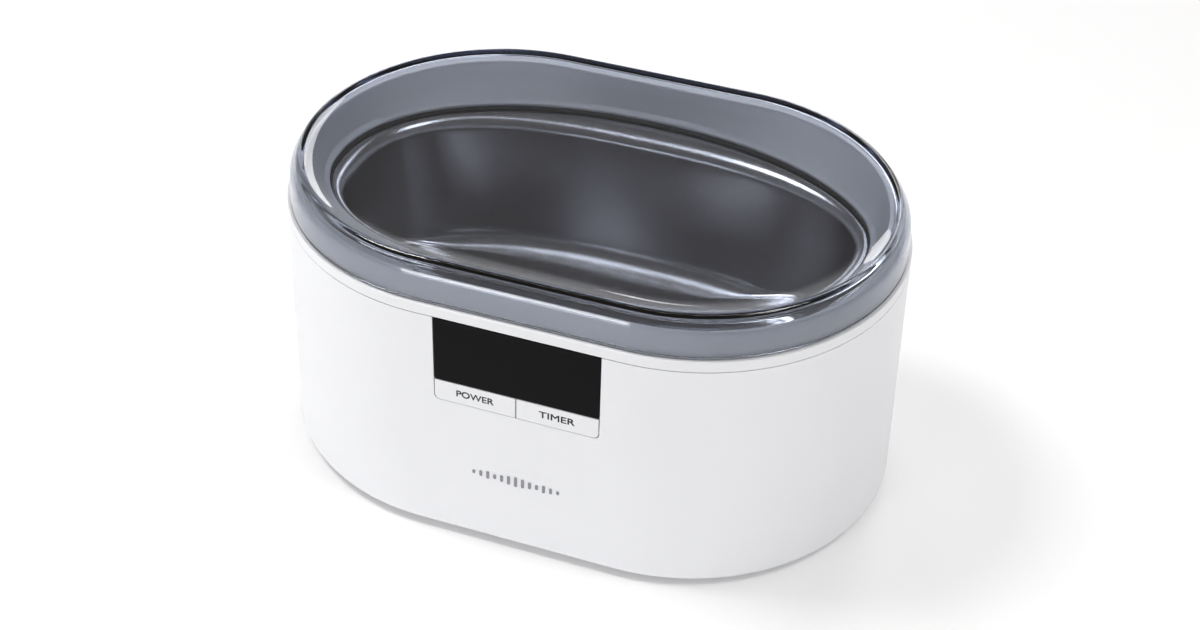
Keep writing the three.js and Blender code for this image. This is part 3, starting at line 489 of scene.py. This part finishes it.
def buildWindow(s):
    halfHeight, middle = (s["top"] - s["windowFoot"]) / 2, (s["top"] + s["windowFoot"]) / 2
    outline = rectangle(s["halfWidth"], halfHeight, middle, s["windowCorner"], s["windowSteps"])
    mesh = plateMesh(outline, 0, s["plate"])
    bmesh.ops.transform(mesh, matrix=panelPlace, verts=mesh.verts)
    return mesh


# A key cap with the post behind it that presses the switch. Only its outer lower corner is well rounded.
def buildKey(s, side):
    inner, outer, small = s["keyGap"] / 2, s["halfWidth"], s["keyCornerSmall"]
    outline = roundedOutline([(inner, s["keyFoot"], small), (outer, s["keyFoot"], s["keyCorner"]),
                              (outer, s["keyTop"], small), (inner, s["keyTop"], small)])
    if side < 0:
        outline = [Vector((-p.x, p.y)) for p in reversed(outline)]
    mesh = plateMesh(outline, 0, s["plate"])
    depth = s["postEnd"] - s["plate"] + s["postOverlap"]
    middle = Matrix.Translation(Vector((side * s["postX"], s["postEnd"] - depth / 2, s["postZ"])) * mm)
    bmesh.ops.create_cube(mesh, size=mm,
                          matrix=middle @ Matrix.Diagonal((s["postWidth"], depth, s["postHeight"], 1)))
    bmesh.ops.transform(mesh, matrix=panelPlace, verts=mesh.verts)
    return mesh


window = finishMesh("displayWindow", buildWindow(panelShape))
softenEdges(window, panelShape["windowSoft"] * mm, segments=2)
fit(window, blackAcrylic, "base", "black_acrylic", "display_window")

for side, keyName in ((-1, "power"), (1, "timer")):
    key = finishMesh(keyName + "KeyCap", buildKey(panelShape, side))
    softenEdges(key, panelShape["keySoft"] * mm)
    fit(key, whiteAbs, keyName + "_key", "white_abs", keyName + "_key")
print("window and keys built")


# Printed words: heights from the seam down, sizes in mm, and how far the ink stands proud.
printing = {
    "power": {"text": "POWER", "x": -13.4, "z": -26.9, "width": 12.2},
    "timer": {"text": "TIMER", "x": 13.4, "z": -26.9, "width": 11.5},
    "capHeight": 2.3, "weight": 0.1, "proud": 0.02, "depth": 0.08, "extrude": 0.05,
}


# Makes the strokes wider: every wall vertex moves outwards in the plane of the letters.
def embolden(data, weight):
    mesh = bmesh.new()
    mesh.from_mesh(data)
    bmesh.ops.remove_doubles(mesh, verts=mesh.verts, dist=1e-5)
    pushes = []
    for vert in mesh.verts:
        walls = [face.normal for face in vert.link_faces if abs(face.normal.z) < 0.5]    # not the flat faces
        pushes.append(sum(walls, Vector()).normalized() * weight)
    for vert, push in zip(mesh.verts, pushes):
        vert.co += push
    mesh.to_mesh(data)
    mesh.free()


def printedWord(name, word):
    curve = bpy.data.curves.new(name, "FONT")
    curve.body = word["text"]
    curve.extrude = printing["extrude"]
    holder = bpy.data.objects.new(name, curve)
    scene.collection.objects.link(holder)
    bpy.context.view_layer.update()
    data = bpy.data.meshes.new_from_object(holder.evaluated_get(bpy.context.evaluated_depsgraph_get()))
    bpy.data.objects.remove(holder)
    xs, ys = [v.co.x for v in data.vertices], [v.co.y for v in data.vertices]
    centred = Matrix.Translation((-(min(xs) + max(xs)) / 2, -(min(ys) + max(ys)) / 2, 0))
    sized = Matrix.Diagonal((word["width"] / (max(xs) - min(xs)),
                             printing["capHeight"] / (max(ys) - min(ys)),
                             printing["depth"] / 2 / printing["extrude"], 1))
    inset = printing["depth"] / 2 - printing["proud"]
    placed = Matrix.Translation(Vector((word["x"], inset, word["z"])) * mm)
    data.transform(sized @ centred)
    embolden(data, printing["weight"])
    data.transform(panelPlace @ placed @ Matrix.Rotation(math.pi / 2, 4, "X") @ Matrix.Scale(mm, 4))
    piece = bpy.data.objects.new(name, data)
    scene.collection.objects.link(piece)
    return piece


for keyName in ("power", "timer"):
    fit(printedWord(keyName + "Word", printing[keyName]), darkInk, keyName + "_key", "white_abs")

# Sound-wave bars printed on the front face, tallest in the middle.
waveMark = {"z": 28.4, "pitch": 2.35, "barWidth": 1.0, "proud": 0.02, "sunk": 0.06, "steps": 5,
            "heights": [1.4, 2.2, 3.0, 1.8, 2.6, 3.4, 3.9, 3.4, 2.6, 1.8, 3.0, 2.2, 1.4]}


def buildWaveMark(s):
    mesh = bmesh.new()
    middle = (len(s["heights"]) - 1) / 2
    for i, height in enumerate(s["heights"]):
        x, w, h = (i - middle) * s["pitch"], s["barWidth"] / 2, height / 2
        outline = roundedOutline([(x - w, -h, w), (x + w, -h, w), (x + w, h, w), (x - w, h, w)], s["steps"])
        bar = plateMesh(outline, -s["proud"], s["sunk"])
        data = bpy.data.meshes.new("bar")
        bar.to_mesh(data)
        bar.free()
        mesh.from_mesh(data)
        bpy.data.meshes.remove(data)
    lift = Matrix.Translation((0, 0, (s["z"] - housingShape["seam"]) * mm))
    bmesh.ops.transform(mesh, matrix=panelPlace @ lift, verts=mesh.verts)
    bmesh.ops.remove_doubles(mesh, verts=mesh.verts, dist=1e-7)
    return mesh


fit(finishMesh("waveMark", buildWaveMark(waveMark)), greyInk, "base", "white_abs")
print("printing built")


# Tank: insets from the visible rim and heights of a drawn sheet, flange to floor.
tankShape = {"rim": 85.0, "flange": 3.0, "rimRound": 5.0, "wallTop": 6.5, "wallFoot": 9.5, "floor": 35.4,
             "floorRound": 8.0, "sheet": 0.8, "rimSteps": 10, "floorSteps": 12}


# Points of an arc, from the start to the end angle in degrees.
def arcPoints(centre, radius, start, end, steps):
    angles = [math.radians(start + (end - start) * i / steps) for i in range(steps + 1)]
    return [Vector((centre[0] + radius * math.cos(a), centre[1] + radius * math.sin(a))) for a in angles]


def buildTank(s):
    rimCentre = (s["wallTop"] - s["rimRound"], s["rim"] - s["rimRound"])
    footCentre = (s["wallFoot"] + s["floorRound"], s["floor"] + s["floorRound"])
    inner = [Vector((-s["flange"], s["rim"])),
             *arcPoints(rimCentre, s["rimRound"], 90, 0, s["rimSteps"]),
             *arcPoints(footCentre, s["floorRound"], 180, 270, s["floorSteps"])]
    outer = [Vector((-s["flange"], s["rim"] - s["sheet"])),
             *arcPoints(rimCentre, s["rimRound"] - s["sheet"], 90, 0, s["rimSteps"]),
             *arcPoints(footCentre, s["floorRound"] + s["sheet"], 180, 270, s["floorSteps"])]
    path = [*reversed(outer), *inner]
    return loft([(tankPoint, p.x, p.y) for p in path], capped=True)


tank = finishMesh("drawnTank", buildTank(tankShape))
tank.modifiers.new("normals", "WEIGHTED_NORMAL").keep_sharp = True
fit(tank, steel, "base", "polished_stainless", "tank")

# Gasket: a flat ring between the flange and the cover's lip, with a rounded edge towards the tank.
gasketShape = {"low": 85.2, "high": 86.0, "outer": -2.6, "inner": 0.3, "edge": 0.2, "middle": 0.4}


def buildGasket(s):
    section = [(s["outer"], s["low"]), (s["outer"], s["high"]), (0, s["high"]),
               (s["edge"], s["high"] - s["edge"]), (s["inner"], s["low"] + s["middle"]),
               (s["edge"], s["low"] + s["edge"] / 2), (0, s["low"])]
    return loft([(tankPoint, inset, z) for inset, z in [*section, section[0]]])


fit(finishMesh("tankGasket", buildGasket(gasketShape)), silicone, "base", "silicone", "tank_gasket")
print("tank built")


# Feet: round rubber pads with a shallow hollow underneath.
footShape = {
    "radius": 6.5, "top": 2.2, "hollow": 3.0, "steps": 40,
    "hollowEdge": [(0.0, 0.4), (0.3, 0.3), (0.6, 0.0)],            # (outwards from the hollow, height)
    "rimEdge": [(0.9, 0.0), (0.4, 0.12), (0.1, 0.4), (0.0, 0.8)],  # (inwards from the radius, height)
}


# A profile of (radius, height) in mm turned about the vertical through the middle.
def turnedMesh(profile, steps):
    mesh = bmesh.new()
    verts = [mesh.verts.new((r * mm, 0, z * mm)) for r, z in profile]
    edges = [mesh.edges.new(pair) for pair in zip(verts, verts[1:])]
    bmesh.ops.spin(mesh, geom=verts + edges, cent=(0, 0, 0), axis=(0, 0, 1), angle=2 * math.pi, steps=steps,
                   use_merge=True)
    bmesh.ops.remove_doubles(mesh, verts=mesh.verts, dist=1e-7)
    return mesh


def buildFoot(s, place):
    mesh = turnedMesh([(0, s["hollowEdge"][0][1]), *[(s["hollow"] + out, z) for out, z in s["hollowEdge"]],
                       *[(s["radius"] - back, z) for back, z in s["rimEdge"]],
                       (s["radius"], s["top"]), (0, s["top"])], s["steps"])
    bmesh.ops.translate(mesh, verts=mesh.verts, vec=place)
    return mesh


for spot in ("front_left", "front_right", "back_right", "back_left"):
    low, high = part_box("foot_" + spot)
    middle = (low + high) / 2
    foot = finishMesh("foot-" + spot, buildFoot(footShape, (middle.x, middle.y, low.z)))
    fit(foot, footRubber, "base", "rubber_foot", "foot_" + spot)

# Inlet: a block flush with the back wall, with a two-pin socket sunk into it.
inletShape = {"z": 17.0, "halfWidth": 10.6, "halfHeight": 5.4, "rear": 52.0, "face": 69.6, "corner": 1.2,
              "socketHalf": 4.3, "socketRadius": 4.1, "socketFloor": 58.0, "socketSteps": 20, "cutPast": 2,
              "softEdge": 0.3}


def buildInlet(s):
    body = finishMesh("inletBody", plateMesh(rectangle(s["halfWidth"], s["halfHeight"], s["z"], s["corner"]),
                                             s["rear"], s["face"]))
    stadium = []
    for side, start in ((1, -90), (-1, 90)):
        stadium += arcPoints((side * s["socketHalf"], s["z"]), s["socketRadius"], start, start + 180,
                             s["socketSteps"])
    socket = finishMesh("socket", plateMesh(stadium, s["socketFloor"], s["face"] + s["cutPast"]))
    cutAway(body, [socket])
    return body


inlet = buildInlet(inletShape)
softenEdges(inlet, inletShape["softEdge"] * mm, segments=2)
fit(inlet, blackPlastic, "base", "black_plastic", "mains_inlet")

# Pins: the tip is (inwards from the radius, back from the end), and ends in a small flat.
pinShape = {"tip": [(0.0, 1.2), (0.15, 0.6), (0.5, 0.15)], "flat": 0.3, "steps": 24}

for spot in ("left", "right"):
    low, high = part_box("inlet_pin_" + spot)
    middle = (low + high) / 2
    r, length = (high.x - low.x) / 2 / mm, (high.y - low.y) / mm
    mesh = turnedMesh([(0, 0), (r, 0), *[(r - inwards, length - back) for inwards, back in pinShape["tip"]],
                       (pinShape["flat"], length), (0, length)], pinShape["steps"])
    bmesh.ops.transform(mesh, verts=mesh.verts, matrix=Matrix.Translation((middle.x, low.y, middle.z))
                        @ Matrix.Rotation(-math.pi / 2, 4, "X"))
    fit(finishMesh("inletPin-" + spot, mesh), brass, "base", "brass_pin", "inlet_pin_" + spot)
print("feet and inlet built")


# The parts inside keep their CAD meshes, and take the finish of their slot.
insideLooks = {
    "base_abs": baseAbs,
    "black_plastic": blackPlastic,
    # Solder mask: glossy deep green over faintly showing copper.
    "green_laminate": grainedMaterial("FR4 laminate, green solder mask", {
        "colour": "#1D5B38", "tone": "#2A6E44", "driftSize": 0.006, "grainSize": 0.001, "grain": 0.1,
        "grainDepth": 0.00003, "roughness": 0.35, "spread": 0.05, "ior": 1.55}),
    # Extruded aluminium: pale grey metal with a soft satin shine.
    "aluminium": grainedMaterial("aluminium, extruded", {
        "colour": "#C4C6C8", "tone": "#B4B6B9", "driftSize": 0.004, "grainSize": 0.0005, "grain": 0.2,
        "grainDepth": 0.00002, "roughness": 0.35, "spread": 0.06, "metallic": 1}),
    # Zinc plate: bright bluish grey with a faint yellowish drift.
    "zinc_plate": grainedMaterial("steel, bright zinc plate", {
        "colour": "#A9ABAE", "tone": "#B6B8B2", "driftSize": 0.002, "grainSize": 0.0003, "grain": 0.15,
        "grainDepth": 0.00001, "roughness": 0.3, "spread": 0.06, "metallic": 1}),
    # Fired ceramic: warm off-white with a dense, slightly glossy face.
    "piezo_ceramic": grainedMaterial("piezo ceramic, fired", {
        "colour": "#C9C3B2", "tone": "#BDB6A4", "driftSize": 0.005, "grainSize": 0.0006, "grain": 0.2,
        "grainDepth": 0.00002, "roughness": 0.4, "spread": 0.05, "ior": 1.6}),
    # Ferrite: charcoal grey, dull and a little sandy.
    "ferrite": grainedMaterial("ferrite, pressed and fired", {
        "colour": "#3A3B3E", "tone": "#45464A", "driftSize": 0.002, "grainSize": 0.0004, "grain": 0.3,
        "grainDepth": 0.00003, "roughness": 0.6, "spread": 0.06, "ior": 1.6}),
    # Enamelled wire: reddish copper with a ribbed shine from its turns.
    "copper_wire": grainedMaterial("copper wire, enamelled", {
        "colour": "#B5643A", "tone": "#A35430", "driftSize": 0.001, "grainSize": 0.0005, "grain": 0.5,
        "grainDepth": 0.0001, "roughness": 0.3, "spread": 0.05, "metallic": 1}),
    # Shrink sleeve: smooth dark blue film.
    "capacitor_sleeve": grainedMaterial("PET shrink sleeve, dark blue", {
        "colour": "#23304A", "tone": "#1E2A42", "driftSize": 0.004, "grainSize": 0.001, "grain": 0.1,
        "grainDepth": 0.00003, "roughness": 0.3, "spread": 0.04, "ior": 1.57}),
    # Dipped epoxy: mustard yellow with soft highlights.
    "yellow_film": grainedMaterial("epoxy dip, yellow", {
        "colour": "#D8B13A", "tone": "#CFA730", "driftSize": 0.004, "grainSize": 0.001, "grain": 0.15,
        "grainDepth": 0.00004, "roughness": 0.35, "spread": 0.05, "ior": 1.55}),
    # Fuse tube: pale grey-green glass, glossy.
    "fuse_glass": grainedMaterial("soda-lime glass, fuse tube", {
        "colour": "#C9D0D0", "tone": "#BCC4C5", "driftSize": 0.003, "grainSize": 0.001, "grain": 0.05,
        "grainDepth": 0.00001, "roughness": 0.1, "spread": 0.03, "ior": 1.52}),
    # Natural nylon: creamy white with a waxy sheen.
    "nylon": grainedMaterial("nylon, natural", {
        "colour": "#E6E3DA", "tone": "#DDD9CE", "driftSize": 0.003, "grainSize": 0.0005, "grain": 0.2,
        "grainDepth": 0.00002, "roughness": 0.5, "spread": 0.05, "ior": 1.53}),
    # Lead insulation, in four plain colours: a soft, slightly waxy shine.
    "red_pvc": grainedMaterial("PVC insulation, red", {
        "colour": "#B32222", "tone": "#A31D1D", "driftSize": 0.003, "grainSize": 0.0005, "grain": 0.15,
        "grainDepth": 0.00002, "roughness": 0.45, "spread": 0.05, "ior": 1.54}),
    "black_pvc": grainedMaterial("PVC insulation, black", {
        "colour": "#1D1D1F", "tone": "#252527", "driftSize": 0.003, "grainSize": 0.0005, "grain": 0.15,
        "grainDepth": 0.00002, "roughness": 0.45, "spread": 0.05, "ior": 1.54}),
    "brown_pvc": grainedMaterial("PVC insulation, brown", {
        "colour": "#6A4326", "tone": "#5E3A20", "driftSize": 0.003, "grainSize": 0.0005, "grain": 0.15,
        "grainDepth": 0.00002, "roughness": 0.45, "spread": 0.05, "ior": 1.54}),
    "blue_pvc": grainedMaterial("PVC insulation, blue", {
        "colour": "#2A4C9C", "tone": "#24438C", "driftSize": 0.003, "grainSize": 0.0005, "grain": 0.15,
        "grainDepth": 0.00002, "roughness": 0.45, "spread": 0.05, "ior": 1.54}),
    # Ribbon lead: grey and a little rougher, from its ribs.
    "grey_pvc": grainedMaterial("PVC ribbon, grey", {
        "colour": "#8D9096", "tone": "#80838A", "driftSize": 0.002, "grainSize": 0.0006, "grain": 0.3,
        "grainDepth": 0.00004, "roughness": 0.5, "spread": 0.05, "ior": 1.54}),
}

for part in frame["record"]["subparts"]:
    node = frame["nodes"][part["node"]]
    if not node.hide_render:
        node.data.materials.clear()
        node.data.materials.append(insideLooks[part["material_slot"]])
print("inner parts finished")


# Studio: a white board, a world that is light near the horizon and dim above, and soft boxes.
# "edge" is where the world turns dim, as the sine of the height angle. "roll" is in degrees.
studio = {
    "floor": "#F6F6F7", "floorTone": "#F2F2F3", "floorHalf": 3, "floorDrop": 0.0002, "floorCells": 8,
    "glow": 0.12, "aim": (0, 0, 0.05),
    "low": (0.76, 0.76, 0.76, 1), "high": (0.2, 0.188, 0.175, 1), "edge": (0.32, 0.48),
    "lamps": {
        "key": {"at": (-0.5, -1.45, 0.28), "size": (0.5, 0.36), "power": 5.2, "roll": 0},
        "top": {"at": (0.0, -0.1, 1.2), "size": (1.0, 0.12), "power": 1.2, "roll": 0},
        "left": {"at": (-0.65, -0.05, 1.2), "size": (0.4, 0.4), "power": 7.2, "roll": 0},
        "right": {"at": (0.65, -0.05, 1.2), "size": (0.4, 0.4), "power": 4.4, "roll": 0},
        "back": {"at": (-0.18, 3.0, 1.7), "size": (0.7, 2.2), "power": 24, "roll": 23},
        "backLeft": {"at": (-1.5, 2.5, 0.75), "size": (0.8, 1.1), "power": 11, "roll": 0},
    },
}


def buildFloor(s):
    mesh = bmesh.new()
    bmesh.ops.create_grid(mesh, x_segments=s["floorCells"], y_segments=s["floorCells"], size=s["floorHalf"])
    bmesh.ops.translate(mesh, verts=mesh.verts, vec=(0, 0, -s["floorDrop"]))
    return mesh


floor = finishMesh("studioFloor", buildFloor(studio))
# Painted board: an even, dull white that glows a little, so that shadows stay faint.
board = grainedMaterial("painted board, white", {
    "colour": studio["floor"], "tone": studio["floorTone"], "driftSize": 0.4, "grainSize": 0.002,
    "grain": 0.05, "grainDepth": 0.00002, "roughness": 0.8, "spread": 0.03, "ior": 1.45})
boardShader = board.node_tree.nodes["Principled BSDF"]
boardShader.inputs["Emission Color"].default_value = (1, 1, 1, 1)
boardShader.inputs["Emission Strength"].default_value = studio["glow"]
floor.data.materials.append(board)

world = bpy.data.worlds.new("studio")
scene.world = world
world.use_nodes = True
sky = world.node_tree
around = addNode(sky, "ShaderNodeTexCoord").outputs["Generated"]
direction = addNode(sky, "ShaderNodeSeparateXYZ", {"Vector": around})
height = addNode(sky, "ShaderNodeMapRange", {"Value": direction.outputs["Z"], "From Min": studio["edge"][0],
                                             "From Max": studio["edge"][1]})
shade = addNode(sky, "ShaderNodeMix", {
    mixFactor: height.outputs["Result"], mixFirst: studio["low"], mixSecond: studio["high"],
}, data_type="RGBA")
sky.links.new(shade.outputs[mixColour], sky.nodes["Background"].inputs["Color"])

for lampName, lamp in studio["lamps"].items():
    light = bpy.data.lights.new(lampName, "AREA")
    light.shape = "RECTANGLE"
    light.size, light.size_y = lamp["size"]
    light.energy = lamp["power"]
    holder = bpy.data.objects.new(lampName, light)
    holder.location = lamp["at"]
    holder.rotation_mode = "QUATERNION"
    aim = (Vector(studio["aim"]) - Vector(lamp["at"])).to_track_quat("-Z", "Y")
    holder.rotation_quaternion = aim @ Quaternion((0, 0, 1), math.radians(lamp["roll"]))
    scene.collection.objects.link(holder)

# Camera: where it stands, its right and up directions, and its lens and sensor width in mm.
cameraView = {"at": (0.1762, -0.5, 0.448), "right": (0.9391, 0.3431, 0.0204),
              "up": (-0.2230, 0.5632, 0.7957), "lens": 59.8, "sensor": 36}
camera = bpy.data.objects.new("camera", bpy.data.cameras.new("camera"))
right, up = Vector(cameraView["right"]).normalized(), Vector(cameraView["up"]).normalized()
camera.matrix_world = (Matrix.Translation(cameraView["at"])
                       @ Matrix((right, up, right.cross(up))).transposed().to_4x4())
camera.data.lens = cameraView["lens"]
camera.data.sensor_width = cameraView["sensor"]
scene.collection.objects.link(camera)
scene.camera = camera
scene.view_settings.view_transform = "Standard"
print("studio built")
